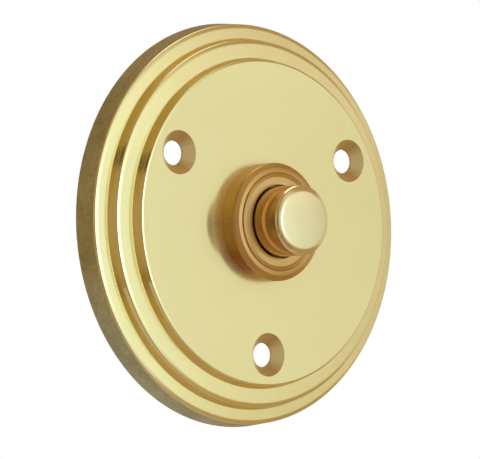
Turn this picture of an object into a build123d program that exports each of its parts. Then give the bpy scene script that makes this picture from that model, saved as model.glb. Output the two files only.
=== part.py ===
from build123d import *
import math
import os

# Round brass bell push for a door frame.
# Frame: the plate's back face (the wall plane) is y = 0, the front faces -Y,
# +Z is up, and the origin is the centre of the back face.
# Every piece is drawn along its own axis with h = height in front of the wall
# (local +Z), then turned so that h runs along -Y.  All lengths in millimetres.

# ---- face plate -----------------------------------------------------------
PLATE_R = 32.0          # outer radius at the wall
RIM_R = 31.5            # outer radius at the first edge
RIM_H = 4.35            # height of the first tread at the riser's foot
TREAD_FALL = 0.2        # both treads fall this much towards their outer edge
STEP1_BASE_R = 29.2     # first riser, foot and head
STEP1_TOP_R = 28.8
STEP1_H = 6.4           # height of the second tread at the riser's foot
STEP2_BASE_R = 25.95    # second riser, foot and head
STEP2_TOP_R = 25.5
FACE_H = 8.2            # height of the flat face
WALL_T = 1.75           # thickness of the flat face
PAD_T = 2.0             # thicker pad round the centre hole
PAD_R = 11.2
CAVITY_R0 = 28.9        # hollow back: mouth, shoulder, upper pocket
CAVITY_R1 = 27.6
CAVITY_H1 = 4.6
CAVITY_R2 = 24.85
CENTRE_HOLE_R = 7.7
SCREW_PCD = 41.4        # three wood-screw holes
SCREW_ANGLES = (30.0, 150.0, 270.0)
SCREW_HOLE_R = 1.9
SCREW_CSK_R = 3.35      # 90 degree countersink

# ---- bezel ----------------------------------------------------------------
BEZEL_R = 9.25
BEZEL_EDGE_H = 2.45     # outer edge, above the plate's face
BEZEL_EDGE_R = 0.4
BEZEL_TURN_R = 8.45     # the outer bead's slope eases off here
BEZEL_TURN_H = 3.02
BEZEL_CREST_R = 7.85    # crest of the outer bead
BEZEL_CREST_H = 3.1
BEZEL_GROOVE_R = 7.38   # shallow groove between the beads
BEZEL_GROOVE_H = 2.9
BEZEL_BEAD_R = 6.98     # inner bead, nearly flat
BEZEL_BEAD_H = 3.13
BEZEL_BEAD_FALL = 0.04  # its top falls this much outwards
BEZEL_BORE_R = 5.7      # lip around the button
BEZEL_SHOULDER_H = 1.2  # shoulder that stops the button's flange, above the face
BARREL_R = 7.6          # threaded barrel, outside
BARREL_BORE_R = 6.65    # guides the button's flange
BARREL_END_H = -3.6

# ---- button and plunger -----------------------------------------------------
BUTTON_R = 5.5
BUTTON_H = 8.8          # face of the button above the plate's face
BUTTON_EDGE_R = 0.65    # rounding at the side
BUTTON_EDGE_FALL = 0.6
BUTTON_CROWN_IN = 0.85  # the face rolls off softly this far inside the side
BUTTON_CROWN_R = 1.7
BUTTON_DOME_FALL = 0.14 # the face is a shallow dome
BUTTON_DOME_R = 62.0
FLANGE_R = 6.6
FLANGE_T = 1.45
FLANGE_GAP = 0.04       # flange to shoulder at rest
TRAVEL = 2.0
PLUNGER_R = 2.0
PLUNGER_NECK_R = 1.3
PLUNGER_GROOVE_R = 1.0
PLUNGER_SHOULDER_H = -5.4
BRIDGE_R = 5.1
BRIDGE_T = 0.5
CLIP_T = 0.5
PLUNGER_END_H = -7.1

# ---- spring -------------------------------------------------------------------
SPRING_WIRE_R = 0.3
SPRING_R = 4.6          # mean radius
SPRING_PITCH = 1.8

# ---- clamping nut and washer ----------------------------------------------
WASHER_T = 0.7
WASHER_R_IN = 7.75
WASHER_R_OUT = 10.3
NUT_T = 2.4
NUT_AF = 18.6
NUT_BORE_R = 7.65

# ---- switch body --------------------------------------------------------------
HOUSING_R = 9.2
HOUSING_FRONT_H = 0.6
HOUSING_SOCKET_R = 7.65
WEB_T = 1.4
GUIDE_R = 2.06
HOUSING_CAVITY_R = 5.6
HOUSING_REAR_H = -9.9
FLUTE_COUNT = 24        # grip flutes round the rear half
FLUTE_H0 = -9.0
FLUTE_H1 = -6.0
BASE_T = 2.5
RIB_T = 1.2
RIB_L = 9.6
RIB_H = 2.9
STUD_X = 3.9
STUD_R = 1.75
STUD_TIP_R = 1.5
STUD_FLANGE_R = 2.15
STUD_TOP_H = -7.93      # contact point, met by the bridge at full travel
STUD_TAP_R = 1.0
STUD_TAP_END_H = -9.0
TERM_SHANK_R = 0.97
TERM_HEAD_R = 2.1
TERM_HEAD_T = 1.4
CLAMP_SIDE = 4.7
CLAMP_T = 0.6
BASE_SCREW_Z = 7.3
BASE_SCREW_R = 0.8
BASE_SCREW_HEAD_R = 1.35


def rounded_wire(points):
    """Closed outline in the (r, h) half plane; each point is (r, h) or (r, h, corner radius)."""
    pts = [(p[0], p[1]) for p in points]
    rad = [p[2] if len(p) > 2 else 0.0 for p in points]
    n = len(pts)
    ends, arcs = [], []
    for i in range(n):
        px, py = pts[i]
        if rad[i] <= 0:
            ends.append(((px, py), (px, py)))
            arcs.append(None)
            continue
        ax, ay = pts[i - 1]
        bx, by = pts[(i + 1) % n]
        ua = (ax - px, ay - py)
        ub = (bx - px, by - py)
        la, lb = math.hypot(*ua), math.hypot(*ub)
        ua, ub = (ua[0] / la, ua[1] / la), (ub[0] / lb, ub[1] / lb)
        half = math.acos(max(-1.0, min(1.0, ua[0] * ub[0] + ua[1] * ub[1]))) / 2
        t = rad[i] / math.tan(half)
        s = (px + ua[0] * t, py + ua[1] * t)
        e = (px + ub[0] * t, py + ub[1] * t)
        bis = (ua[0] + ub[0], ua[1] + ub[1])
        lbis = math.hypot(*bis)
        dc = rad[i] / math.sin(half)
        m = (px + bis[0] / lbis * (dc - rad[i]), py + bis[1] / lbis * (dc - rad[i]))
        ends.append((s, e))
        arcs.append(m)
    edges = []
    for i in range(n):
        s, e = ends[i]
        if arcs[i] is not None:
            edges.append(ThreePointArc((s[0], 0, s[1]), (arcs[i][0], 0, arcs[i][1]), (e[0], 0, e[1])))
        nxt = ends[(i + 1) % n][0]
        if math.hypot(nxt[0] - e[0], nxt[1] - e[1]) > 1e-6:
            edges.append(Line((e[0], 0, e[1]), (nxt[0], 0, nxt[1])))
    return edges


def turned(points):
    """A turned solid about the local axis from its rounded half section."""
    wire = Wire(rounded_wire(points))
    return revolve(Face(wire), axis=Axis.Z)


def tube(r_out, r_in, h0, h1):
    return turned([(r_in, h0), (r_out, h0), (r_out, h1), (r_in, h1)])


def rod(r, h0, h1, x=0.0, y=0.0):
    return Pos(x, y, (h0 + h1) / 2) * Cylinder(r, abs(h1 - h0))


def cone(r0, r1, h0, h1, x=0.0, y=0.0):
    return Pos(x, y, (h0 + h1) / 2) * Cone(r0, r1, h1 - h0)


# ---- face plate -----------------------------------------------------------------
plate = turned([
    (CAVITY_R0, 0.0, 0.25),
    (PLATE_R, 0.0, 0.3),
    (RIM_R, RIM_H - TREAD_FALL, 0.55),
    (STEP1_BASE_R, RIM_H, 0.1),
    (STEP1_TOP_R, STEP1_H - TREAD_FALL, 0.5),
    (STEP2_BASE_R, STEP1_H, 0.1),
    (STEP2_TOP_R, FACE_H, 0.18),
    (CENTRE_HOLE_R, FACE_H),
    (CENTRE_HOLE_R, FACE_H - PAD_T),
    (PAD_R, FACE_H - PAD_T),
    (PAD_R + 0.25, FACE_H - WALL_T),
    (CAVITY_R2 - 0.15, FACE_H - WALL_T, 0.5),
    (CAVITY_R2, CAVITY_H1, 0.3),
    (CAVITY_R1, CAVITY_H1, 0.5),
])
for a in SCREW_ANGLES:
    x = SCREW_PCD / 2 * math.cos(math.radians(a))
    y = SCREW_PCD / 2 * math.sin(math.radians(a))
    plate -= rod(SCREW_HOLE_R, FACE_H - WALL_T - 1, FACE_H + 1, x, y)
    sink = SCREW_CSK_R - SCREW_HOLE_R
    plate -= cone(SCREW_HOLE_R, SCREW_CSK_R + 0.5, FACE_H - sink, FACE_H + 0.5, x, y)

# ---- bezel: beaded ring and threaded barrel in one -------------------------------
F = FACE_H
bezel = turned([
    (BARREL_R, BARREL_END_H, 0.3),
    (BARREL_R, F),
    (BEZEL_R, F),
    (BEZEL_R, F + BEZEL_EDGE_H, BEZEL_EDGE_R),
    (BEZEL_TURN_R, F + BEZEL_TURN_H, 0.35),
    (BEZEL_CREST_R, F + BEZEL_CREST_H, 0.3),
    (BEZEL_GROOVE_R, F + BEZEL_GROOVE_H, 0.08),
    (BEZEL_BEAD_R, F + BEZEL_BEAD_H - BEZEL_BEAD_FALL, 0.12),
    (BEZEL_BORE_R, F + BEZEL_BEAD_H, 0.25),
    (BEZEL_BORE_R, F + BEZEL_SHOULDER_H),
    (BARREL_BORE_R, F + BEZEL_SHOULDER_H),
    (BARREL_BORE_R, BARREL_END_H, 0.2),
])

# ---- button: head, flange, drilled for the plunger ---------------------------------
B_TOP = F + BUTTON_H
B_FL1 = F + BEZEL_SHOULDER_H - FLANGE_GAP
B_FL0 = B_FL1 - FLANGE_T
B_HOLE = B_FL0 + 5.0
button = turned([
    (0.0, B_TOP),
    (0.0, B_HOLE),
    (PLUNGER_R + 0.02, B_HOLE),
    (PLUNGER_R + 0.02, B_FL0),
    (FLANGE_R, B_FL0, 0.25),
    (FLANGE_R, B_FL1, 0.15),
    (BUTTON_R, B_FL1),
    (BUTTON_R, B_TOP - BUTTON_EDGE_FALL, BUTTON_EDGE_R),
    (BUTTON_R - BUTTON_CROWN_IN, B_TOP - BUTTON_DOME_FALL, BUTTON_CROWN_R),
    ((BUTTON_R - BUTTON_CROWN_IN) / 2, B_TOP, BUTTON_DOME_R),
])

# ---- plunger -----------------------------------------------------------------------
CLIP_H1 = PLUNGER_SHOULDER_H - BRIDGE_T - 0.03
CLIP_H0 = CLIP_H1 - CLIP_T
plunger = turned([
    (0.0, B_HOLE - 0.1),
    (0.0, PLUNGER_END_H),
    (PLUNGER_NECK_R, PLUNGER_END_H, 0.25),
    (PLUNGER_NECK_R, CLIP_H0 - 0.04),
    (PLUNGER_GROOVE_R, CLIP_H0 - 0.04),
    (PLUNGER_GROOVE_R, CLIP_H1 + 0.02),
    (PLUNGER_NECK_R, CLIP_H1 + 0.02),
    (PLUNGER_NECK_R, PLUNGER_SHOULDER_H),
    (PLUNGER_R, PLUNGER_SHOULDER_H),
    (PLUNGER_R, B_HOLE - 0.1, 0.3),
])

# ---- contact bridge and its clip ----------------------------------------------------
bridge = turned([
    (PLUNGER_NECK_R + 0.03, PLUNGER_SHOULDER_H - BRIDGE_T - 0.01),
    (BRIDGE_R, PLUNGER_SHOULDER_H - BRIDGE_T - 0.01, 0.2),
    (BRIDGE_R, PLUNGER_SHOULDER_H - 0.01, 0.2),
    (PLUNGER_NECK_R + 0.03, PLUNGER_SHOULDER_H - 0.01),
])
clip_sk = Circle(2.0) - Circle(PLUNGER_GROOVE_R + 0.03)
clip_sk -= Pos(1.6, 0) * Rectangle(3.2, 1.5)
for s in (-1, 1):
    clip_sk -= Pos(-0.3, s * 1.22) * Circle(0.3)
clip = Pos(0, 0, CLIP_H0) * extrude(clip_sk, CLIP_T)

# ---- return spring ---------------------------------------------------------------
WEB_H1 = BARREL_END_H - 0.02
SP0 = WEB_H1 + SPRING_WIRE_R + 0.05
SP1 = B_FL0 - SPRING_WIRE_R - 0.05
helix = Helix(pitch=SPRING_PITCH, height=SP1 - SP0, radius=SPRING_R)
spring = Pos(0, 0, SP0) * sweep(
    Plane(origin=helix @ 0, z_dir=helix % 0) * Circle(SPRING_WIRE_R), path=helix, is_frenet=True
)

# ---- lock washer and ring nut ---------------------------------------------------------
W1 = F - PAD_T - 0.01
W0 = W1 - WASHER_T
washer = tube(WASHER_R_OUT, WASHER_R_IN, W0, W1)
for k in range(14):
    washer -= Rot(0, 0, k * 360 / 14) * (Pos(WASHER_R_OUT, 0, (W0 + W1) / 2) * Box(2.6, 1.5, 2))
N1 = W0 - 0.01
N0 = N1 - NUT_T
nut = Pos(0, 0, N0) * extrude(RegularPolygon(NUT_AF / 2 / math.cos(math.pi / 6), 6), NUT_T)
nut &= turned([(0, N0), (NUT_AF / 2 - 0.2, N0), (NUT_AF / 2 + 1.6, N0 + 0.75),
               (NUT_AF / 2 + 1.6, N1 - 0.75), (NUT_AF / 2 - 0.2, N1), (0, N1)])
nut -= rod(NUT_BORE_R, N0 - 1, N1 + 1)
nut -= cone(NUT_BORE_R + 0.45, NUT_BORE_R, N0, N0 + 0.45)

# ---- switch housing ---------------------------------------------------------------------
WEB_H0 = WEB_H1 - WEB_T
housing = turned([
    (GUIDE_R, WEB_H0),
    (HOUSING_CAVITY_R, WEB_H0, 0.3),
    (HOUSING_CAVITY_R, HOUSING_REAR_H),
    (HOUSING_R, HOUSING_REAR_H, 0.2),
    (HOUSING_R, HOUSING_FRONT_H, 0.5),
    (HOUSING_SOCKET_R, HOUSING_FRONT_H, 0.2),
    (HOUSING_SOCKET_R, WEB_H1),
    (GUIDE_R, WEB_H1, 0.25),
])
for k in range(FLUTE_COUNT):
    housing -= Rot(0, 0, (k + 0.5) * 360 / FLUTE_COUNT) * rod(
        0.5, FLUTE_H0, FLUTE_H1, HOUSING_R + 0.22, 0)
for s in (-1, 1):
    housing -= rod(BASE_SCREW_R + 0.03, HOUSING_REAR_H - 1, HOUSING_REAR_H + 3.6, 0, s * BASE_SCREW_Z)

# ---- base plate with terminal rib --------------------------------------------------------
BP1 = HOUSING_REAR_H - 0.01
BP0 = BP1 - BASE_T
base = turned([(0, BP0), (HOUSING_R, BP0, 0.4), (HOUSING_R, BP1, 0.15), (0, BP1)])
rib = Pos(0, 0, BP0 - RIB_H / 2) * Box(RIB_T, RIB_L, RIB_H)
rib = fillet(rib.edges().filter_by(Axis.Z) + rib.faces().sort_by(Axis.Z)[0].edges(), 0.3)
base += rib
for s in (-1, 1):
    base -= rod(STUD_R + 0.02, BP0 - 1, BP1 + 1, s * STUD_X, 0)
    base -= rod(BASE_SCREW_R + 0.08, BP0 - 1, BP1 + 1, 0, s * BASE_SCREW_Z)
    sink = BASE_SCREW_HEAD_R - BASE_SCREW_R
    base -= cone(BASE_SCREW_HEAD_R + 0.55, BASE_SCREW_R + 0.05, BP0 - 0.5, BP0 + sink, 0, s * BASE_SCREW_Z)

# ---- contact studs ----------------------------------------------------------------------
ST0 = BP0 - 0.35
stud_shape = turned([
    (0, STUD_TOP_H),
    (0, STUD_TAP_END_H),
    (STUD_TAP_R, STUD_TAP_END_H),
    (STUD_TAP_R, ST0, 0.12),
    (STUD_FLANGE_R, ST0, 0.1),
    (STUD_FLANGE_R, BP0 - 0.01),
    (STUD_R, BP0 - 0.01),
    (STUD_R, BP1),
    (STUD_TIP_R, BP1),
    (STUD_TIP_R, STUD_TOP_H, 0.8),
])
stud_left = Pos(-STUD_X, 0, 0) * stud_shape
stud_right = Pos(STUD_X, 0, 0) * stud_shape

# ---- clamp washers and terminal screws ---------------------------------------------------
CW1 = ST0 - 0.01
CW0 = CW1 - CLAMP_T
TH1 = CW0 - 0.01
TH0 = TH1 - TERM_HEAD_T
clamps, terms, bscrews = [], [], []
for s, turn in ((-1, 24.0), (1, -38.0)):
    w = Pos(s * STUD_X, 0, (CW0 + CW1) / 2) * Box(CLAMP_SIDE, CLAMP_SIDE, CLAMP_T)
    w = fillet(w.edges().filter_by(Axis.Z), 0.4)
    w -= rod(TERM_SHANK_R + 0.1, CW0 - 1, CW1 + 1, s * STUD_X, 0)
    clamps.append(w)
    t = turned([(0, TH0), (TERM_HEAD_R, TH0, 0.35), (TERM_HEAD_R, TH1),
                (TERM_SHANK_R, TH1), (TERM_SHANK_R, STUD_TAP_END_H - 0.3, 0.25), (0, STUD_TAP_END_H - 0.3)])
    t -= Rot(0, 0, turn) * (Pos(0, 0, TH0) * Box(6, 0.65, 1.3))
    terms.append(Pos(s * STUD_X, 0, 0) * t)
    sink = BASE_SCREW_HEAD_R - BASE_SCREW_R
    b = turned([(0, BP0 + 0.02), (BASE_SCREW_HEAD_R, BP0 + 0.02), (BASE_SCREW_R, BP0 + 0.02 + sink),
                (BASE_SCREW_R, HOUSING_REAR_H + 3.2, 0.2), (0, HOUSING_REAR_H + 3.2)])
    b -= Rot(0, 0, 15 + 60 * s) * (Pos(0, 0, BP0) * Box(4, 0.4, 0.7))
    bscrews.append(Pos(0, s * BASE_SCREW_Z, 0) * b)

NODES = {
    "face_plate": [plate],
    "bezel": [bezel],
    "push_button": [button],
    "lock_washer": [washer],
    "ring_nut": [nut],
    "plunger": [plunger],
    "return_spring": [spring],
    "switch_housing": [housing],
    "contact_bridge": [bridge],
    "retaining_clip": [clip],
    "contact_stud_left": [stud_left],
    "contact_stud_right": [stud_right],
    "base_plate": [base],
    "base_screws": bscrews,
    "terminal_screws": terms,
    "clamp_washers": clamps,
}

os.makedirs("parts", exist_ok=True)
TO_WALL = Rot(90, 0, 0)
for name, shapes in NODES.items():
    solids = [s for shape in shapes for s in (TO_WALL * shape).solids()]
    body = solids[0] if len(solids) == 1 else Compound(children=solids)
    body.label = name
    export_step(body, f"parts/{name}.step")
    print(name, len(solids), "solids", round(sum(s.volume for s in solids), 3), "mm3")
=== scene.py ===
import math

import bpy
from mathutils import Matrix, Vector
from mathutils.geometry import delaunay_2d_cdt


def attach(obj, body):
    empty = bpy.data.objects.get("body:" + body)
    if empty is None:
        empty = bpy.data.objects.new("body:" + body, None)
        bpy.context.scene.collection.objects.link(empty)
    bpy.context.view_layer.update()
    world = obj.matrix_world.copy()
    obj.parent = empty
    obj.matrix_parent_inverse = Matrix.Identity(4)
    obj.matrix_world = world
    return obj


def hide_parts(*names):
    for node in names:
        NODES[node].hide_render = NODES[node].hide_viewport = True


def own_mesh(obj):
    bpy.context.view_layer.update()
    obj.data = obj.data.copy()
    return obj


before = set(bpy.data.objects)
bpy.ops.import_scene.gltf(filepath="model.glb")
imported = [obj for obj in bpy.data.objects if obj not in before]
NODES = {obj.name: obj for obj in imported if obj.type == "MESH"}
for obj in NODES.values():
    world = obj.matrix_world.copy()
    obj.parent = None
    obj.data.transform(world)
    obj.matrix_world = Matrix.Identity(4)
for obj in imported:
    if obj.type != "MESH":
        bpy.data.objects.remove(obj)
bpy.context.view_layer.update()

MM = 0.001

# ---------------------------------------------------------------------------
# Mesh tools.  Lengths here are millimetres, h is the height in front of the
# wall (world -Y).  Faces carry exact corner normals, so turned surfaces and
# flat treads reflect cleanly.
# ---------------------------------------------------------------------------


class Skin:
    """Faces with exact corner normals, welded where corners share a place."""

    def __init__(self):
        self.places, self.index = [], {}
        self.faces, self.normals, self.slots = [], [], []

    def corner(self, p):
        key = (round(p[0] * 5000), round(p[1] * 5000), round(p[2] * 5000))
        if key not in self.index:
            self.index[key] = len(self.places)
            self.places.append((p[0] * MM, p[1] * MM, p[2] * MM))
        return self.index[key]

    def face(self, corners, slot=0):
        """corners: [(place, normal), ...]"""
        ids, nrm = [], []
        for p, n in corners:
            i = self.corner(p)
            if i not in ids:
                ids.append(i)
                nrm.append(n)
        if len(ids) < 3:
            return
        a, b, c = (Vector(self.places[i]) for i in ids[:3])
        g = (b - a).cross(c - a)
        s = Vector((0, 0, 0))
        for n in nrm:
            s += Vector(n)
        if g.dot(s) < 0:
            ids.reverse()
            nrm.reverse()
        self.faces.append(ids)
        self.normals.append(nrm)
        self.slots.append(slot)

    def build(self, name, materials):
        me = bpy.data.meshes.new(name)
        me.from_pydata(self.places, [], self.faces)
        for m in materials:
            me.materials.append(m)
        me.polygons.foreach_set("use_smooth", [True] * len(me.polygons))
        me.polygons.foreach_set("material_index", self.slots)
        flat = []
        for poly, ids, nrm in zip(me.polygons, self.faces, self.normals):
            assert list(poly.vertices) == ids
            flat.extend(tuple(Vector(n).normalized()) for n in nrm)
        me.normals_split_custom_set(flat)
        me.update()
        ob = bpy.data.objects.new(name, me)
        bpy.context.scene.collection.objects.link(ob)
        return ob


def outline(points, closed=True, fine=9):
    """Half section (r, h[, corner radius]) -> sections [(p0, n0, p1, n1, tag)], normals pointing out of the solid."""
    pts = [(p[0], p[1]) for p in points]
    rad = [p[2] if len(p) > 2 else 0.0 for p in points]
    n = len(pts)
    area = sum(pts[i][0] * pts[(i + 1) % n][1] - pts[(i + 1) % n][0] * pts[i][1] for i in range(n))
    turn = 1.0 if area > 0 else -1.0
    runs = []
    for i in range(n):
        p = Vector(pts[i])
        if rad[i] <= 0 or (not closed and i in (0, n - 1)):
            runs.append([(p, None)])
            continue
        a, b = Vector(pts[i - 1]) - p, Vector(pts[(i + 1) % n]) - p
        ua, ub = a.normalized(), b.normalized()
        half = math.acos(max(-1.0, min(1.0, ua.dot(ub)))) / 2
        t = rad[i] / math.tan(half)
        s, e = p + ua * t, p + ub * t
        centre = p + (ua + ub).normalized() * (rad[i] / math.sin(half))
        n0 = (s - centre).normalized()
        n1 = (e - centre).normalized()
        # outward on a convex corner, inward on a fillet
        along = -ua
        out = Vector((along.y, -along.x)) * turn
        sign = 1.0 if n0.dot(out) > 0 else -1.0
        ang = math.atan2(n0.x * n1.y - n0.y * n1.x, n0.dot(n1))
        k = max(2, int(math.ceil(abs(ang) / (math.pi / 2) * fine)) + 1)
        run = []
        for j in range(k + 1):
            w = ang * j / k
            d = Vector((n0.x * math.cos(w) - n0.y * math.sin(w), n0.x * math.sin(w) + n0.y * math.cos(w)))
            run.append((centre + d * rad[i], d * sign))
        runs.append(run)
    out = []
    for i in range(n if closed else n - 1):
        run = runs[i]
        for j in range(len(run) - 1):
            out.append((run[j][0], run[j][1], run[j + 1][0], run[j + 1][1], i))
        p0, p1 = run[-1][0], runs[(i + 1) % n][0][0]
        d = p1 - p0
        if d.length > 1e-5:
            d.normalize()
            nn = Vector((d.y, -d.x)) * turn
            out.append((p0, nn, p1, nn, i))
    if not closed:
        run = runs[-1]
    return out


def spin(skin, sections, seg, centre=(0.0, 0.0), slot=lambda p0, p1: 0):
    """Turns sections about an axis along Y through centre (x, z)."""
    ring = [(math.cos(2 * math.pi * k / seg), math.sin(2 * math.pi * k / seg)) for k in range(seg)]
    cx, cz = centre

    def at(p, k):
        return (cx + p[0] * ring[k % seg][0], -p[1], cz + p[0] * ring[k % seg][1])

    def nat(nv, k):
        return (nv[0] * ring[k % seg][0], -nv[1], nv[0] * ring[k % seg][1])

    for p0, n0, p1, n1, _ in sections:
        s = slot(p0, p1)
        for k in range(seg):
            skin.face([(at(p0, k), nat(n0, k)), (at(p1, k), nat(n1, k)),
                       (at(p1, k + 1), nat(n1, k + 1)), (at(p0, k + 1), nat(n0, k + 1))], s)


def flat_with_holes(skin, h, facing, r_out, seg_out, r_in, seg_in, holes, slot=0):
    """A flat ring at height h with round holes [(x, z, r, seg)]; facing is +1 to the front, -1 to the wall."""
    pts, edges = [], []

    def loop(cx, cz, r, seg):
        first = len(pts)
        for k in range(seg):
            a = 2 * math.pi * k / seg
            pts.append(Vector((cx + r * math.cos(a), cz + r * math.sin(a))))
            edges.append((first + k, first + (k + 1) % seg))

    loop(0, 0, r_out, seg_out)
    loop(0, 0, r_in, seg_in)
    for x, z, r, seg in holes:
        loop(x, z, r, seg)
    v, _, f, *_ = delaunay_2d_cdt(pts, edges, [], 1, 1e-9)
    nrm = (0.0, -1.0 * facing, 0.0)
    for tri in f:
        c = sum((v[i] for i in tri), Vector((0, 0))) / len(tri)
        if c.length < r_in * math.cos(math.pi / seg_in) or c.length > r_out:
            continue
        if any((c - Vector((x, z))).length < r * math.cos(math.pi / seg) for x, z, r, seg in holes):
            continue
        skin.face([((v[i].x, -h, v[i].y), nrm) for i in tri], slot)


# ---------------------------------------------------------------------------
# Materials
# ---------------------------------------------------------------------------


class Nodes:
    def __init__(self, name):
        self.mat = bpy.data.materials.new(name)
        self.mat.use_nodes = True
        self.t = self.mat.node_tree
        self.t.nodes.clear()
        self.out = self.add("ShaderNodeOutputMaterial")
        self.bsdf = self.add("ShaderNodeBsdfPrincipled")
        self.link(self.bsdf.outputs["BSDF"], self.out.inputs["Surface"])
        self.coord = self.add("ShaderNodeTexCoord").outputs["Object"]

    def add(self, kind, **sets):
        n = self.t.nodes.new(kind)
        for k, v in sets.items():
            setattr(n, k, v)
        return n

    def link(self, a, b):
        self.t.links.new(a, b)

    def math(self, op, a, b=None, c=None, clamp=False):
        n = self.add("ShaderNodeMath", operation=op, use_clamp=clamp)
        for i, x in enumerate((a, b, c)):
            if x is None:
                continue
            if isinstance(x, (int, float)):
                n.inputs[i].default_value = x
            else:
                self.link(x, n.inputs[i])
        return n.outputs[0]

    def spread(self, value):
        """A number as the first part of a vector."""
        n = self.add("ShaderNodeCombineXYZ")
        self.link(value, n.inputs[0])
        return n.outputs[0]

    def stretch(self, vec, scale, turn=(0, 0, 0), shift=(0, 0, 0)):
        n = self.add("ShaderNodeMapping")
        n.inputs["Scale"].default_value = scale
        n.inputs["Rotation"].default_value = turn
        n.inputs["Location"].default_value = shift
        self.link(vec, n.inputs["Vector"])
        return n.outputs["Vector"]

    def noise(self, vec, scale, detail=3.0, rough=0.55, distort=0.0):
        n = self.add("ShaderNodeTexNoise")
        n.inputs["Scale"].default_value = scale
        n.inputs["Detail"].default_value = detail
        n.inputs["Roughness"].default_value = rough
        n.inputs["Distortion"].default_value = distort
        self.link(vec, n.inputs["Vector"])
        return n.outputs[0]

    def band(self, value, lo, hi, to_lo=0.0, to_hi=1.0):
        n = self.add("ShaderNodeMapRange")
        n.inputs["From Min"].default_value = lo
        n.inputs["From Max"].default_value = hi
        n.inputs["To Min"].default_value = to_lo
        n.inputs["To Max"].default_value = to_hi
        self.link(value, n.inputs["Value"])
        return n.outputs["Result"]

    def tint(self, fac, a, b):
        n = self.add("ShaderNodeMix", data_type="RGBA")
        n.inputs["A"].default_value = (*a, 1.0)
        n.inputs["B"].default_value = (*b, 1.0)
        for s in n.inputs:
            if s.type == "RGBA":
                s.default_value = (*(a if s.name == "A" else b), 1.0)
        self.link(fac, n.inputs["Factor"])
        return [o for o in n.outputs if o.type == "RGBA"][0]

    def mix_colours(self, fac, a, b):
        n = self.add("ShaderNodeMix", data_type="RGBA")
        cols = [s for s in n.inputs if s.type == "RGBA"]
        for s, x in zip(cols, (a, b)):
            if isinstance(x, tuple):
                s.default_value = (*x, 1.0)
            else:
                self.link(x, s)
        self.link(fac, n.inputs["Factor"])
        return [o for o in n.outputs if o.type == "RGBA"][0]

    def bump(self, height, strength, distance, chain=None):
        n = self.add("ShaderNodeBump")
        n.inputs["Strength"].default_value = strength
        n.inputs["Distance"].default_value = distance
        self.link(height, n.inputs["Height"])
        if chain is not None:
            self.link(chain, n.inputs["Normal"])
        return n.outputs["Normal"]

    def turned(self):
        """(radius, height, small share of angle) in metres: marks left by turning follow it."""
        sep = self.add("ShaderNodeSeparateXYZ")
        self.link(self.coord, sep.inputs[0])
        x2 = self.math("MULTIPLY", sep.outputs["X"], sep.outputs["X"])
        r2 = self.math("MULTIPLY_ADD", sep.outputs["Z"], sep.outputs["Z"], x2)
        r = self.math("SQRT", r2)
        a = self.math("ARCTAN2", sep.outputs["Z"], sep.outputs["X"])
        comb = self.add("ShaderNodeCombineXYZ")
        self.link(r, comb.inputs[0])
        self.link(sep.outputs["Y"], comb.inputs[1])
        self.link(self.math("MULTIPLY", a, 0.0002), comb.inputs[2])
        return comb.outputs[0]

    def scratches(self, seeds, width=0.55):
        """Sparse fine polishing scratches, 0..1."""
        total = None
        for turn, shift in seeds:
            v = self.stretch(self.coord, (5200.0, 5200.0, 60.0), (0.25 * turn, turn, 0.0), shift)
            s = self.band(self.noise(v, 1.0, 1.0, 0.4), 0.70, 0.80)
            total = s if total is None else self.math("MAXIMUM", total, s)
        return total

    def set(self, **values):
        names = {"metal": "Metallic", "rough": "Roughness", "color": "Base Color", "ior": "IOR",
                 "coat": "Coat Weight", "coat_rough": "Coat Roughness", "spec": "Specular IOR Level",
                 "sss": "Subsurface Weight", "aniso": "Anisotropic", "normal": "Normal",
                 "tangent": "Tangent"}
        for k, v in values.items():
            s = self.bsdf.inputs[names[k]]
            if isinstance(v, (int, float)):
                s.default_value = v
            elif isinstance(v, tuple):
                s.default_value = (*v, 1.0) if len(v) == 3 else v
            else:
                self.link(v, s)
        return self.mat


BRASS_A = (0.922, 0.862, 0.428)
BRASS_B = (0.902, 0.832, 0.393)
BUTTON_A = (0.920, 0.865, 0.485)
BUTTON_B = (0.900, 0.840, 0.460)
# the button's side: a darker, oranger copy of its brass, painted shade standing in for the dark reflections round it
SIDE_SHADED_A = (0.740, 0.570, 0.300)
SIDE_SHADED_B = (0.680, 0.500, 0.250)
BEZEL_A = (0.910, 0.700, 0.285)
BEZEL_B = (0.850, 0.620, 0.235)
INNER_A = (0.860, 0.665, 0.270)
INNER_B = (0.800, 0.595, 0.225)
# the outer bead's top: a darker copy of the bezel brass, painted shade standing in for its dimmer reflections
BEAD_SHADED_A = (0.715, 0.495, 0.178)
BEAD_SHADED_B = (0.655, 0.430, 0.140)


def polished_brass(name):
    m = Nodes(name)
    cloud = m.noise(m.coord, 55.0, 4.0, 0.6)
    fine = m.noise(m.coord, 2600.0, 2.0, 0.5)
    wave = m.noise(m.coord, 240.0, 2.0, 0.5)
    marks = m.scratches([(0.6, (0, 0, 0)), (2.1, (3, 1, 7)), (-0.9, (9, 4, 2))])
    haze = m.band(m.noise(m.coord, 40000.0, 1.0, 0.5), 0.51, 0.61)      # fine buffing grain
    rough = m.band(cloud, 0.3, 0.7, 0.045, 0.070)
    rough = m.math("MULTIPLY_ADD", marks, 0.06, rough)
    rough = m.math("MULTIPLY_ADD", haze, 0.36, rough)
    radius = m.add("ShaderNodeSeparateXYZ")
    m.link(m.turned(), radius.inputs[0])
    foot = m.band(radius.outputs["X"], 9.2 * MM, 13.0 * MM, 1.0, 0.0)    # duller round the bezel's foot
    rough = m.math("MULTIPLY_ADD", foot, 0.20, rough)
    colour = m.tint(m.band(cloud, 0.35, 0.75), BRASS_A, BRASS_B)
    n = m.bump(wave, 0.10, 0.00002)
    n = m.bump(fine, 0.10, 0.000003, n)
    n = m.bump(marks, 0.08, 0.000004, n)
    return m.set(metal=1.0, color=colour, rough=rough, normal=n)


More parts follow.
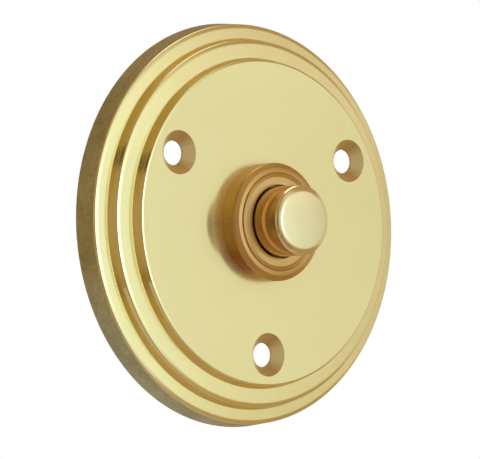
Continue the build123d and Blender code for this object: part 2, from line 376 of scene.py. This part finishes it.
def satin_rim_brass(name):
    """Side of the rim: linished, not buffed, so it is grainy and duller; its darker olive colour is painted shade."""
    m = Nodes(name)
    sep_noise = m.noise(m.coord, 1500.0, 3.0, 0.65)
    cloud = m.noise(m.coord, 140.0, 3.0, 0.6)
    t = m.turned()
    lines = m.noise(m.stretch(t, (9000.0, 9000.0, 9000.0)), 1.0, 2.0, 0.5)
    rough = m.band(sep_noise, 0.25, 0.75, 0.30, 0.46)
    # painted shade: a darker, greener copy of the face brass; the grain noise is its linished finish
    colour = m.tint(m.band(m.math("MULTIPLY_ADD", sep_noise, 0.5, m.math("MULTIPLY", cloud, 0.5)), 0.35, 0.65),
                    (0.58, 0.59, 0.36), (0.38, 0.375, 0.21))
    n = m.bump(sep_noise, 0.45, 0.00006)
    n = m.bump(lines, 0.15, 0.00001, n)
    return m.set(metal=1.0, color=colour, rough=rough, normal=n)


def turned_brass(name, a=BRASS_A, b=BRASS_B, rough_lo=0.08, rough_hi=0.15, line=0.10, painted_shade=None, metal=1.0):
    m = Nodes(name)
    t = m.turned()
    lines = m.noise(m.stretch(t, (7000.0, 7000.0, 7000.0)), 1.0, 2.0, 0.5)
    cloud = m.noise(m.coord, 160.0, 3.0, 0.6)
    fine = m.noise(m.coord, 3200.0, 2.0, 0.5)
    rough = m.band(m.math("MULTIPLY_ADD", fine, 0.5, m.math("MULTIPLY", cloud, 0.5)), 0.3, 0.7, rough_lo, rough_hi)
    colour = m.tint(m.band(cloud, 0.3, 0.7), a, b)
    if painted_shade:                                    # painted shade: the colour turns darker below the middle of the wall, less so at its very bottom, and half-way darker near the top
        sep = m.add("ShaderNodeSeparateXYZ")
        m.link(m.coord, sep.inputs[0])
        low = m.band(sep.outputs["Z"], -1.0 * MM, -5.0 * MM)
        foot = m.band(sep.outputs["Z"], -9.0 * MM, -7.4 * MM, 0.35, 1.0)
        high = m.band(sep.outputs["Z"], 3.5 * MM, 7.5 * MM, 0.0, 0.5)
        colour = m.mix_colours(m.math("MAXIMUM", m.math("MINIMUM", low, foot), high), colour, painted_shade)
    n = m.bump(lines, line, 0.000006)
    n = m.bump(fine, 0.08, 0.000004, n)
    return m.set(metal=metal, color=colour, rough=rough, normal=n)


def countersink_brass(name, centres):
    """Machined cone: marks run round each screw hole."""
    m = Nodes(name)
    sep = m.add("ShaderNodeSeparateXYZ")
    m.link(m.coord, sep.inputs[0])
    near = None
    along_x = along_z = None
    for x, z in centres:
        dx = m.math("SUBTRACT", sep.outputs["X"], x * MM)
        dz = m.math("SUBTRACT", sep.outputs["Z"], z * MM)
        d = m.math("SQRT", m.math("MULTIPLY_ADD", dx, dx, m.math("MULTIPLY", dz, dz)))
        near = d if near is None else m.math("MINIMUM", near, d)
        here = m.math("LESS_THAN", d, 5.0 * MM)
        along_x = m.math("MULTIPLY_ADD", dx, here, 0.0 if along_x is None else along_x)
        along_z = m.math("MULTIPLY_ADD", dz, here, 0.0 if along_z is None else along_z)
    slope = m.add("ShaderNodeCombineXYZ")
    m.link(along_x, slope.inputs[0])
    m.link(along_z, slope.inputs[2])
    straight = m.add("ShaderNodeVectorMath", operation="NORMALIZE")
    m.link(slope.outputs[0], straight.inputs[0])
    comb = m.add("ShaderNodeCombineXYZ")
    m.link(near, comb.inputs[0])
    m.link(sep.outputs["Y"], comb.inputs[1])
    lines = m.noise(m.stretch(comb.outputs[0], (9000.0, 9000.0, 1.0)), 1.0, 2.0, 0.5)
    fine = m.noise(m.coord, 2200.0, 3.0, 0.6)
    rough = m.band(fine, 0.3, 0.7, 0.60, 0.72)
    turn = m.math("ARCTAN2", along_z, along_x)
    chatter = m.noise(m.spread(turn), 7.0, 2.0, 0.6)
    # the cone's base colour is paler than the face brass: painted light lifting the cone's brightness; the chatter
    # streaks are its machining
    colour = m.tint(m.band(chatter, 0.35, 0.65), (1.0, 0.95, 0.52), (0.94, 0.85, 0.42))
    lean = m.math("DIVIDE", m.math("ABSOLUTE", along_z), near)
    colour = m.mix_colours(m.band(lean, 0.35, 0.85, 0.0, 0.80), colour, (0.60, 0.38, 0.07))   # painted shade: the top and bottom of each cone are tinted dark brown
    n = m.bump(lines, 0.30, 0.00001)
    n = m.bump(fine, 0.12, 0.00001, n)
    return m.set(metal=0.25, color=colour, rough=rough, normal=n, aniso=0.9,
                 tangent=straight.outputs[0])


def cast_brass(name):
    """Unpolished hollow back: cast skin with a lustreless tarnish."""
    m = Nodes(name)
    grain = m.noise(m.coord, 900.0, 5.0, 0.65)
    cloud = m.noise(m.coord, 90.0, 5.0, 0.6, 0.4)
    pits = m.band(m.noise(m.coord, 2300.0, 2.0, 0.5), 0.62, 0.78)
    rough = m.band(cloud, 0.3, 0.7, 0.38, 0.58)
    colour = m.tint(m.band(cloud, 0.30, 0.70), (0.78, 0.64, 0.33), (0.56, 0.42, 0.20))
    n = m.bump(grain, 0.55, 0.00012)
    n = m.bump(m.math("MULTIPLY", pits, -1.0), 0.5, 0.00008, n)
    return m.set(metal=1.0, color=colour, rough=rough, normal=n)


def machined_metal(name, a, b, rough_lo, rough_hi, grain=1400.0):
    m = Nodes(name)
    fine = m.noise(m.coord, grain, 4.0, 0.6)
    cloud = m.noise(m.coord, 220.0, 3.0, 0.6)
    drawn = m.noise(m.stretch(m.coord, (6000.0, 600.0, 6000.0)), 1.0, 2.0, 0.5)
    rough = m.band(fine, 0.3, 0.7, rough_lo, rough_hi)
    colour = m.tint(m.band(m.math("MULTIPLY_ADD", cloud, 0.6, m.math("MULTIPLY", fine, 0.4)), 0.32, 0.68), a, b)
    n = m.bump(drawn, 0.2, 0.00001)
    n = m.bump(fine, 0.15, 0.00002, n)
    return m.set(metal=1.0, color=colour, rough=rough, normal=n)


def phenolic(name, a, b, rough_lo=0.30, rough_hi=0.46, grain=1800.0):
    """Moulded phenolic: dark, slightly mottled, with a fine moulded skin."""
    m = Nodes(name)
    fine = m.noise(m.coord, grain, 4.0, 0.6)
    mottle = m.noise(m.coord, 420.0, 5.0, 0.65, 0.6)
    rough = m.band(mottle, 0.3, 0.7, rough_lo, rough_hi)
    colour = m.tint(m.band(mottle, 0.35, 0.70), a, b)
    n = m.bump(fine, 0.25, 0.00003)
    n = m.bump(mottle, 0.12, 0.00006, n)
    return m.set(metal=0.0, color=colour, rough=rough, normal=n, spec=0.5)


def laminate(name):
    """Paper-base phenolic sheet: brown, with faint fibres."""
    m = Nodes(name)
    fibre = m.noise(m.stretch(m.coord, (300.0, 3000.0, 2600.0), (0.0, 0.35, 0.0)), 1.0, 4.0, 0.6, 0.5)
    mottle = m.noise(m.coord, 260.0, 4.0, 0.6)
    colour = m.tint(m.band(m.math("MULTIPLY_ADD", fibre, 0.6, m.math("MULTIPLY", mottle, 0.4)), 0.30, 0.70),
                    (0.110, 0.048, 0.020), (0.235, 0.115, 0.050))
    rough = m.band(fibre, 0.3, 0.7, 0.32, 0.48)
    n = m.bump(fibre, 0.15, 0.00003)
    return m.set(metal=0.0, color=colour, rough=rough, normal=n, spec=0.5)


def nylon(name):
    m = Nodes(name)
    fine = m.noise(m.coord, 2000.0, 3.0, 0.6)
    mottle = m.noise(m.coord, 300.0, 3.0, 0.6)
    colour = m.tint(m.band(mottle, 0.3, 0.7), (0.76, 0.72, 0.62), (0.84, 0.81, 0.73))
    rough = m.band(fine, 0.3, 0.7, 0.34, 0.48)
    n = m.bump(fine, 0.2, 0.00002)
    return m.set(metal=0.0, color=colour, rough=rough, normal=n, sss=0.1)


# ---------------------------------------------------------------------------
# Face plate
# ---------------------------------------------------------------------------

FACE_H, WALL_T, PAD_T = 8.2, 1.75, 2.0
SCREW_R, SINK_R, HOLE_PCR = 1.9, 3.35, 20.7
HOLES = [(HOLE_PCR * math.cos(math.radians(a)), HOLE_PCR * math.sin(math.radians(a))) for a in (30.0, 150.0, 270.0)]

POLISHED = polished_brass("polished_brass_face")
SATIN = satin_rim_brass("satin_brass_rim")
SINK = countersink_brass("machined_brass_countersink", HOLES)
CAST = cast_brass("cast_brass_back")

plate_outline = [
    (28.9, 0.0, 0.25),
    (31.999, 0.0, 0.30),
    (31.53, 3.99, 0.30),
    (30.95, 4.19, 1.30),
    (29.2, 4.35, 0.09),
    (28.84, 6.06, 0.28),
    (28.30, 6.24, 1.30),
    (25.95, 6.40, 0.10),
    (25.55, 8.12, 0.12),
    (25.28, 8.20, 0.40),
    (7.7, FACE_H),
    (7.7, FACE_H - PAD_T),
    (11.2, FACE_H - PAD_T),
    (11.45, FACE_H - WALL_T),
    (24.7, FACE_H - WALL_T, 0.50),
    (24.85, 4.6, 0.30),
    (27.6, 4.6, 0.50),
]
SEG = 288


def plate_slot(p0, p1):
    mid = (p0 + p1) / 2
    if mid.y < 3.80 and mid.x > 31.2 and mid.y > 0.05:
        return 1
    if mid.y < 0.06 or (mid.x < 29.1 and mid.y < 4.7) or (mid.x < 25.1 and mid.y < FACE_H - 1.7):
        return 3
    return 0


skin = Skin()
front_r = back_r = None
kept = []
for sec in outline(plate_outline, fine=10):
    p0, n0, p1, n1, tag = sec
    if abs(p0.y - FACE_H) < 1e-6 and abs(p1.y - FACE_H) < 1e-6:
        front_r = max(p0.x, p1.x)
        continue
    if abs(p0.y - (FACE_H - WALL_T)) < 1e-6 and abs(p1.y - (FACE_H - WALL_T)) < 1e-6:
        back_r = max(p0.x, p1.x)
        continue
    kept.append(sec)
spin(skin, kept, SEG, slot=plate_slot)
EDGE = 0.14
EDGE_T = EDGE * math.tan(math.radians(22.5))
flat_with_holes(skin, FACE_H, 1, front_r, SEG, 7.7, SEG, [(x, z, SINK_R + EDGE_T, 96) for x, z in HOLES], 0)
flat_with_holes(skin, FACE_H - WALL_T, -1, back_r, SEG, 11.45, SEG, [(x, z, SCREW_R, 96) for x, z in HOLES], 3)
hole_section = outline([(SINK_R + 2.0, FACE_H), (SINK_R, FACE_H, EDGE), (SCREW_R, FACE_H - SINK_R + SCREW_R, 0.10),
                        (SCREW_R, FACE_H - WALL_T), (SINK_R + 2.0, FACE_H - WALL_T)], fine=8)
wall = []
for p0, n0, p1, n1, tag in hole_section:
    if max(p0.x, p1.x) > SINK_R + EDGE_T + 0.01:
        continue
    wall.append((p0, n0, p1, n1, tag))
for x, z in HOLES:
    spin(skin, wall, 96, centre=(x, z), slot=lambda a, b: 2)
plate = skin.build("face_plate_turned", [POLISHED, SATIN, SINK, CAST])
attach(plate, "body")
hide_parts("face_plate")

# ---------------------------------------------------------------------------
# Bezel with its threaded barrel
# ---------------------------------------------------------------------------

# Bezel wall colour: painted shade, darker towards the bottom of the wall.
BEZEL = turned_brass("turned_brass_bezel", BEZEL_A, BEZEL_B, rough_lo=0.22, rough_hi=0.32, line=0.10,
                     painted_shade=(0.46, 0.27, 0.13))
# outer bead top: painted shade, a darker copy of the bezel's brass
BEZEL_TOP = turned_brass("turned_brass_outer_bead", BEAD_SHADED_A, BEAD_SHADED_B, rough_lo=0.32, rough_hi=0.42, line=0.10)
BEZEL_IN = turned_brass("turned_brass_inner_bead", INNER_A, INNER_B, rough_lo=0.40, rough_hi=0.50, line=0.06,
                        metal=0.9)


def bezel_slot(p0, p1):
    if min(p0[1], p1[1]) < F + 2.2:
        return 0
    return 1 if max(p0[0], p1[0]) > 7.05 else 2


F = FACE_H
bezel_outline = [
    (7.6, -3.6, 0.30),
    (7.6, F),
    (9.25, F, 0.06),
    (9.25, F + 2.45, 0.40),
    (8.45, F + 2.97, 0.35),
    (7.85, F + 3.10, 0.30),
    (7.38, F + 2.85, 0.08),
    (6.98, F + 3.03, 0.15),
    (6.20, F + 3.13, 0.80),
    (5.70, F + 3.10, 0.20),
    (5.70, F + 1.2),
    (6.65, F + 1.2),
    (6.65, -3.6, 0.20),
]
THREAD_TOP, THREAD_END, PITCH, DEPTH = 5.6, -3.2, 0.80, 0.36
skin = Skin()
sections = []
for sec in outline(bezel_outline, fine=10):
    p0, n0, p1, n1, tag = sec
    if abs(p0.x - 7.6) < 1e-6 and abs(p1.x - 7.6) < 1e-6:
        lo, hi = min(p0.y, p1.y), max(p0.y, p1.y)
        out = Vector((1.0, 0.0))
        sections.append((Vector((7.6, hi)), out, Vector((7.6, THREAD_TOP)), out, tag))
        sections.append((Vector((7.6, THREAD_END)), out, Vector((7.6, lo)), out, tag))
        continue
    sections.append(sec)
TSEG = 192
spin(skin, sections, TSEG, slot=bezel_slot)


def thread_r(a, h):
    """Radius of the threaded barrel: a V thread that fades in and out at its ends."""
    fade = min(1.0, max(0.0, (THREAD_TOP - h) / 0.5), max(0.0, (h - THREAD_END) / 0.5))
    u = (h / PITCH - a / (2 * math.pi)) % 1.0
    tri = 1.0 - abs(2.0 * u - 1.0)
    tri = min(1.0, max(0.0, (tri - 0.10) / 0.80))
    return 7.6 - DEPTH * fade * tri


def thread_point(a, h):
    r = thread_r(a, h)
    return Vector((r * math.cos(a), -h, r * math.sin(a)))


def thread_normal(a, h):
    da, dh = 1e-3, 1e-2
    t1 = thread_point(a + da, h) - thread_point(a - da, h)
    t2 = thread_point(a, min(THREAD_TOP, h + dh)) - thread_point(a, max(THREAD_END, h - dh))
    n = t1.cross(t2).normalized()
    if n.x * math.cos(a) + n.z * math.sin(a) < 0:
        n = -n
    return tuple(n)


rows = int((THREAD_TOP - THREAD_END) / PITCH * 10)
for i in range(rows):
    h0 = THREAD_TOP + (THREAD_END - THREAD_TOP) * i / rows
    h1 = THREAD_TOP + (THREAD_END - THREAD_TOP) * (i + 1) / rows
    for k in range(TSEG):
        a0, a1 = 2 * math.pi * k / TSEG, 2 * math.pi * ((k + 1) % TSEG) / TSEG
        quad = [(a0, h0), (a0, h1), (a1, h1), (a1, h0)]
        skin.face([(tuple(thread_point(a, h)), thread_normal(a, h)) for a, h in quad])
bezel = skin.build("bezel_turned", [BEZEL, BEZEL_TOP, BEZEL_IN])
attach(bezel, "body")
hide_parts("bezel")

# ---------------------------------------------------------------------------
# Button
# ---------------------------------------------------------------------------

BUTTON_FACE = turned_brass("turned_brass_button_face", BUTTON_A, BUTTON_B, rough_lo=0.08, rough_hi=0.15, line=0.06)
# button side: painted shade, a darker copy of the button's brass
BUTTON_SIDE = turned_brass("turned_brass_button_side", SIDE_SHADED_A, SIDE_SHADED_B, rough_lo=0.10, rough_hi=0.18, line=0.10)
B_TOP = F + 8.8
B_FL1 = F + 1.2 - 0.04
B_FL0 = B_FL1 - 1.45
skin = Skin()
spin(skin, [s for s in outline([
    (0.0, B_TOP),
    (0.0, B_FL0 + 5.0),
    (2.02, B_FL0 + 5.0),
    (2.02, B_FL0),
    (6.6, B_FL0, 0.25),
    (6.6, B_FL1, 0.15),
    (5.5, B_FL1),
    (5.5, B_TOP - 0.60, 0.65),
    (4.65, B_TOP - 0.14, 1.70),
    (2.325, B_TOP, 62.0),
], fine=12) if max(s[0].x, s[2].x) > 1e-6], 192, slot=lambda p0, p1: 1 if min(p0[1], p1[1]) < B_TOP - 0.95 else 0)
button = skin.build("push_button_turned", [BUTTON_FACE, BUTTON_SIDE])
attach(button, "button")
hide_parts("push_button")

# ---------------------------------------------------------------------------
# Return spring: a coil with closed ends, set between the barrel's end and the button's flange
# ---------------------------------------------------------------------------

WIRE = machined_metal("bright_spring_wire", (0.60, 0.59, 0.57), (0.42, 0.41, 0.40), 0.22, 0.36)
SP_LO, SP_HI, SP_R, SP_W = -3.62, B_FL0, 4.6, 0.30
DEAD, LIVE = 1.0, 4.6
turns = 2 * DEAD + LIVE
lo, hi = SP_LO + SP_W + 0.02, SP_HI - SP_W - 0.02
skin = Skin()
STEPS, ROUND = int(turns * 40), 12


def coil_height(t):
    """Height of the wire's centre after t turns: tight at both ends, open between."""
    rise = 2 * SP_W + 0.03
    if t < DEAD:
        return lo + rise * t
    if t > turns - DEAD:
        return hi - rise * (turns - t)
    u = (t - DEAD) / LIVE
    return lo + rise * DEAD + (hi - lo - 2 * rise * DEAD) * u


def coil_point(t):
    a = 2 * math.pi * t
    return Vector((SP_R * math.cos(a), -coil_height(t), SP_R * math.sin(a)))


def coil_frame(t):
    p = coil_point(t)
    a = 2 * math.pi * t
    out = Vector((math.cos(a), 0.0, math.sin(a)))
    d = (coil_point(min(turns, t + 0.004)) - coil_point(max(0.0, t - 0.004))).normalized()
    side = d.cross(out).normalized()
    return p, out, side, d


rings = []
for i in range(STEPS + 1):
    p, o, s, d = coil_frame(turns * i / STEPS)
    ring = []
    for k in range(ROUND):
        w = 2 * math.pi * k / ROUND
        n = o * math.cos(w) + s * math.sin(w)
        ring.append((tuple(p + n * SP_W), tuple(n)))
    rings.append((ring, d))
for i in range(STEPS):
    for k in range(ROUND):
        j = (k + 1) % ROUND
        skin.face([rings[i][0][k], rings[i + 1][0][k], rings[i + 1][0][j], rings[i][0][j]])
for (ring, d), sign in ((rings[0], -1), (rings[-1], 1)):
    skin.face([(p, tuple(d * sign)) for p, _ in ring])
spring = skin.build("return_spring_coil", [WIRE])
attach(spring, "body")
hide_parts("return_spring")
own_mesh(spring)

# ---------------------------------------------------------------------------
# Carried-over pieces behind the plate
# ---------------------------------------------------------------------------

BLACK = phenolic("black_moulded_phenolic", (0.012, 0.012, 0.013), (0.030, 0.029, 0.028))
BASE = laminate("brown_paper_laminate")
NUT = machined_metal("machined_nut_brass", (0.84, 0.72, 0.38), (0.70, 0.57, 0.27), 0.20, 0.34)
TERMINAL = machined_metal("machined_terminal_brass", (0.86, 0.74, 0.40), (0.72, 0.58, 0.28), 0.18, 0.32)
BRONZE = machined_metal("stamped_contact_bronze", (0.80, 0.60, 0.36), (0.66, 0.46, 0.25), 0.22, 0.38)
ZINC = machined_metal("zinc_plated_steel", (0.66, 0.66, 0.63), (0.54, 0.54, 0.50), 0.22, 0.38)
NYLON = nylon("natural_nylon")
for node, mat in (("lock_washer", ZINC), ("ring_nut", NUT), ("plunger", NYLON), ("switch_housing", BLACK),
                  ("contact_bridge", BRONZE), ("retaining_clip", WIRE), ("contact_stud_left", TERMINAL),
                  ("contact_stud_right", TERMINAL), ("base_plate", BASE), ("base_screws", ZINC),
                  ("terminal_screws", TERMINAL), ("clamp_washers", TERMINAL)):
    ob = NODES[node]
    if not ob.material_slots:
        ob.data.materials.append(mat)
    for s in ob.material_slots:
        s.material = mat

# ---------------------------------------------------------------------------
# Studio: white surround, a pale floor well below, soft light from the front
# ---------------------------------------------------------------------------

scene = bpy.context.scene
scene.view_settings.view_transform = "Standard"
scene.view_settings.look = "None"
scene.view_settings.exposure = 0.0
scene.view_settings.gamma = 1.0

world = bpy.data.worlds.new("studio")
scene.world = world
world.use_nodes = True
wt = world.node_tree
wt.nodes.clear()


def wadd(kind, **sets):
    n = wt.nodes.new(kind)
    for k, v in sets.items():
        setattr(n, k, v)
    return n


def sky(az, el):
    a, e = math.radians(az), math.radians(el)
    return Vector((math.sin(a) * math.cos(e), -math.cos(a) * math.cos(e), math.sin(e)))


w_coord = wadd("ShaderNodeTexCoord")
w_dir = wadd("ShaderNodeVectorMath", operation="NORMALIZE")
wt.links.new(w_coord.outputs["Generated"], w_dir.inputs[0])
total = None


def wsum(colour_socket):
    global total
    if total is None:
        total = colour_socket
        return
    n = wadd("ShaderNodeVectorMath", operation="ADD")
    wt.links.new(total, n.inputs[0])
    wt.links.new(colour_socket, n.inputs[1])
    total = n.outputs[0]


def glow(az, el, full, end, colour, power=1.0):
    """A soft round light: full strength within `full` degrees of its centre, none beyond `end`."""
    dot = wadd("ShaderNodeVectorMath", operation="DOT_PRODUCT")
    wt.links.new(w_dir.outputs[0], dot.inputs[0])
    dot.inputs[1].default_value = sky(az, el)
    ac = wadd("ShaderNodeMath", operation="ARCCOSINE")
    wt.links.new(dot.outputs["Value"], ac.inputs[0])
    mr = wadd("ShaderNodeMapRange", interpolation_type="SMOOTHSTEP")
    mr.inputs["From Min"].default_value = math.radians(end)
    mr.inputs["From Max"].default_value = math.radians(full)
    wt.links.new(ac.outputs[0], mr.inputs["Value"])
    sc = wadd("ShaderNodeVectorMath", operation="SCALE")
    sc.inputs[0].default_value = [c * power for c in colour]
    wt.links.new(mr.outputs["Result"], sc.inputs["Scale"])
    wsum(sc.outputs[0])


w_sep = wadd("ShaderNodeSeparateXYZ")
wt.links.new(w_dir.outputs[0], w_sep.inputs[0])


def wmath(op, a, b=None):
    n = wadd("ShaderNodeMath", operation=op)
    for i, x in enumerate((a, b)):
        if x is None:
            continue
        if isinstance(x, (int, float)):
            n.inputs[i].default_value = x
        else:
            wt.links.new(x, n.inputs[i])
    return n.outputs[0]


w_az = wmath("ARCTAN2", w_sep.outputs["X"], wmath("MULTIPLY", w_sep.outputs["Y"], -1.0))
w_el = wmath("ARCSINE", w_sep.outputs["Z"])


def card(az, el, half_w, half_h, soft, colour):
    """A soft-edged oval card facing the object; soft is the width of its edge as a share of its size."""
    u = wmath("DIVIDE", wmath("SUBTRACT", w_az, math.radians(az)), math.radians(half_w))
    v = wmath("DIVIDE", wmath("SUBTRACT", w_el, math.radians(el)), math.radians(half_h))
    r = wmath("SQRT", wmath("ADD", wmath("MULTIPLY", u, u), wmath("MULTIPLY", v, v)))
    mr = wadd("ShaderNodeMapRange", interpolation_type="SMOOTHSTEP")
    mr.inputs["From Min"].default_value = 1.0 + soft
    mr.inputs["From Max"].default_value = 1.0
    wt.links.new(r, mr.inputs["Value"])
    sc = wadd("ShaderNodeVectorMath", operation="SCALE")
    sc.inputs[0].default_value = colour
    wt.links.new(mr.outputs["Result"], sc.inputs["Scale"])
    wsum(sc.outputs[0])


base = wadd("ShaderNodeCombineXYZ")
for i, v in enumerate((0.43, 0.285, 0.145)):
    base.inputs[i].default_value = v
wsum(base.outputs[0])                                    # warm brown room
card(92.0, 2.0, 33.0, 14.0, 0.8, (0.23, 0.285, 0.375))    # pale wall on the right
card(16.0, 1.5, 12.0, 9.7, 2.6, (0.55, 0.76, 0.97))      # white card in front, to the right
glow(12.0, 32.0, 8.0, 26.0, (0.25, 0.30, 0.37))          # its upper part
glow(8.0, -22.0, 6.0, 16.0, (0.20, 0.25, 0.30))          # its foot
glow(0.0, -66.0, 22.0, 36.0, (0.06, 0.055, 0.165))      # light from the ground in front
card(8.0, 1.5, 5.0, 9.0, 0.8, (1.2, 1.25, 1.8))         # tall lamp near the middle of the front
glow(-46.0, -2.0, 14.0, 36.0, (-0.17, -0.125, -0.030))   # dark behind the viewer
glow(-42.0, -3.0, 5.0, 15.0, (-0.11, -0.07, -0.05))      # darkest right at the viewer
glow(-4.0, -41.0, 13.0, 28.0, (-0.13, -0.15, -0.09))    # shade low in front
glow(-84.0, 0.0, 10.0, 26.0, (0.14, 0.11, 0.18))         # lighter wall on the left
glow(-121.0, 34.0, 3.0, 9.0, (-0.38, -0.25, -0.12))      # two dark fittings on that wall
glow(-72.0, 35.0, 3.0, 9.0, (-0.38, -0.25, -0.12))
glow(-114.0, -31.0, 3.0, 10.0, (-0.20, -0.14, -0.07))    # and two lower down
glow(-74.0, -33.0, 3.0, 10.0, (-0.20, -0.14, -0.07))
card(44.0, 13.0, 14.0, 5.0, 0.8, (0.14, 0.11, 0.12))     # paler strips above and below the card's edge
card(44.0, -9.0, 14.0, 4.0, 0.8, (0.08, 0.08, 0.05))
glow(100.0, 78.0, 14.0, 26.0, (1.2, 1.05, 1.25))           # ceiling light at the back, right
glow(0.0, 90.0, 6.0, 18.0, (0.45, 0.45, 0.5))             # ceiling light
glow(180.0, 8.0, 10.0, 34.0, (0.45, 0.55, 0.62))         # fill behind

bg_env = wadd("ShaderNodeBackground")
wt.links.new(total, bg_env.inputs["Color"])
bg_seen = wadd("ShaderNodeBackground")
bg_seen.inputs["Color"].default_value = (1.0, 1.0, 1.0, 1.0)
path = wadd("ShaderNodeLightPath")
mixw = wadd("ShaderNodeMixShader")
wt.links.new(path.outputs["Is Camera Ray"], mixw.inputs[0])
wt.links.new(bg_env.outputs[0], mixw.inputs[1])
wt.links.new(bg_seen.outputs[0], mixw.inputs[2])
w_out = wadd("ShaderNodeOutputWorld")
wt.links.new(mixw.outputs[0], w_out.inputs["Surface"])

# pale floor
floor_me = bpy.data.meshes.new("floor")
ring = [(1.9 * math.cos(2 * math.pi * k / 96), 1.75 + 1.9 * math.sin(2 * math.pi * k / 96), -1.2) for k in range(96)]
floor_me.from_pydata(ring, [], [list(range(96))])
floor = bpy.data.objects.new("floor", floor_me)
scene.collection.objects.link(floor)
fm = Nodes("pale_floor")
fm.set(color=fm.tint(fm.band(fm.noise(fm.coord, 3.0, 2.0, 0.5), 0.3, 0.7), (0.83, 0.92, 0.97), (0.86, 0.95, 1.0)), rough=0.9)
floor_me.materials.append(fm.mat)

# ---------------------------------------------------------------------------
# Camera
# ---------------------------------------------------------------------------

AZ, EL, ROLL = -41.81, -2.95, -0.76
FOCAL_PX, DIST = 3343.65, 529.8
OFF_X, OFF_Y = -8.21, -4.48
IMAGE_W, IMAGE_H = 480, 459
back = sky(AZ, EL)
fwd = -back
right = fwd.cross(Vector((0, 0, 1))).normalized()
up = right.cross(fwd)
ro = math.radians(ROLL)
right, up = right * math.cos(ro) + up * math.sin(ro), up * math.cos(ro) - right * math.sin(ro)
aim = (fwd - right * (OFF_X / FOCAL_PX) + up * (OFF_Y / FOCAL_PX)).normalized()
right = (right - aim * right.dot(aim)).normalized()
up = right.cross(aim)
cam_data = bpy.data.cameras.new("camera")
cam_data.sensor_fit = "HORIZONTAL"
cam_data.sensor_width = 36.0
cam_data.lens = FOCAL_PX / IMAGE_W * 36.0
cam_data.clip_start = 0.01
cam_data.clip_end = 50.0
cam = bpy.data.objects.new("camera", cam_data)
m = Matrix((right, up, -aim)).transposed().to_4x4()
m.translation = back * (DIST * MM)
cam.matrix_world = m
scene.collection.objects.link(cam)
scene.camera = cam
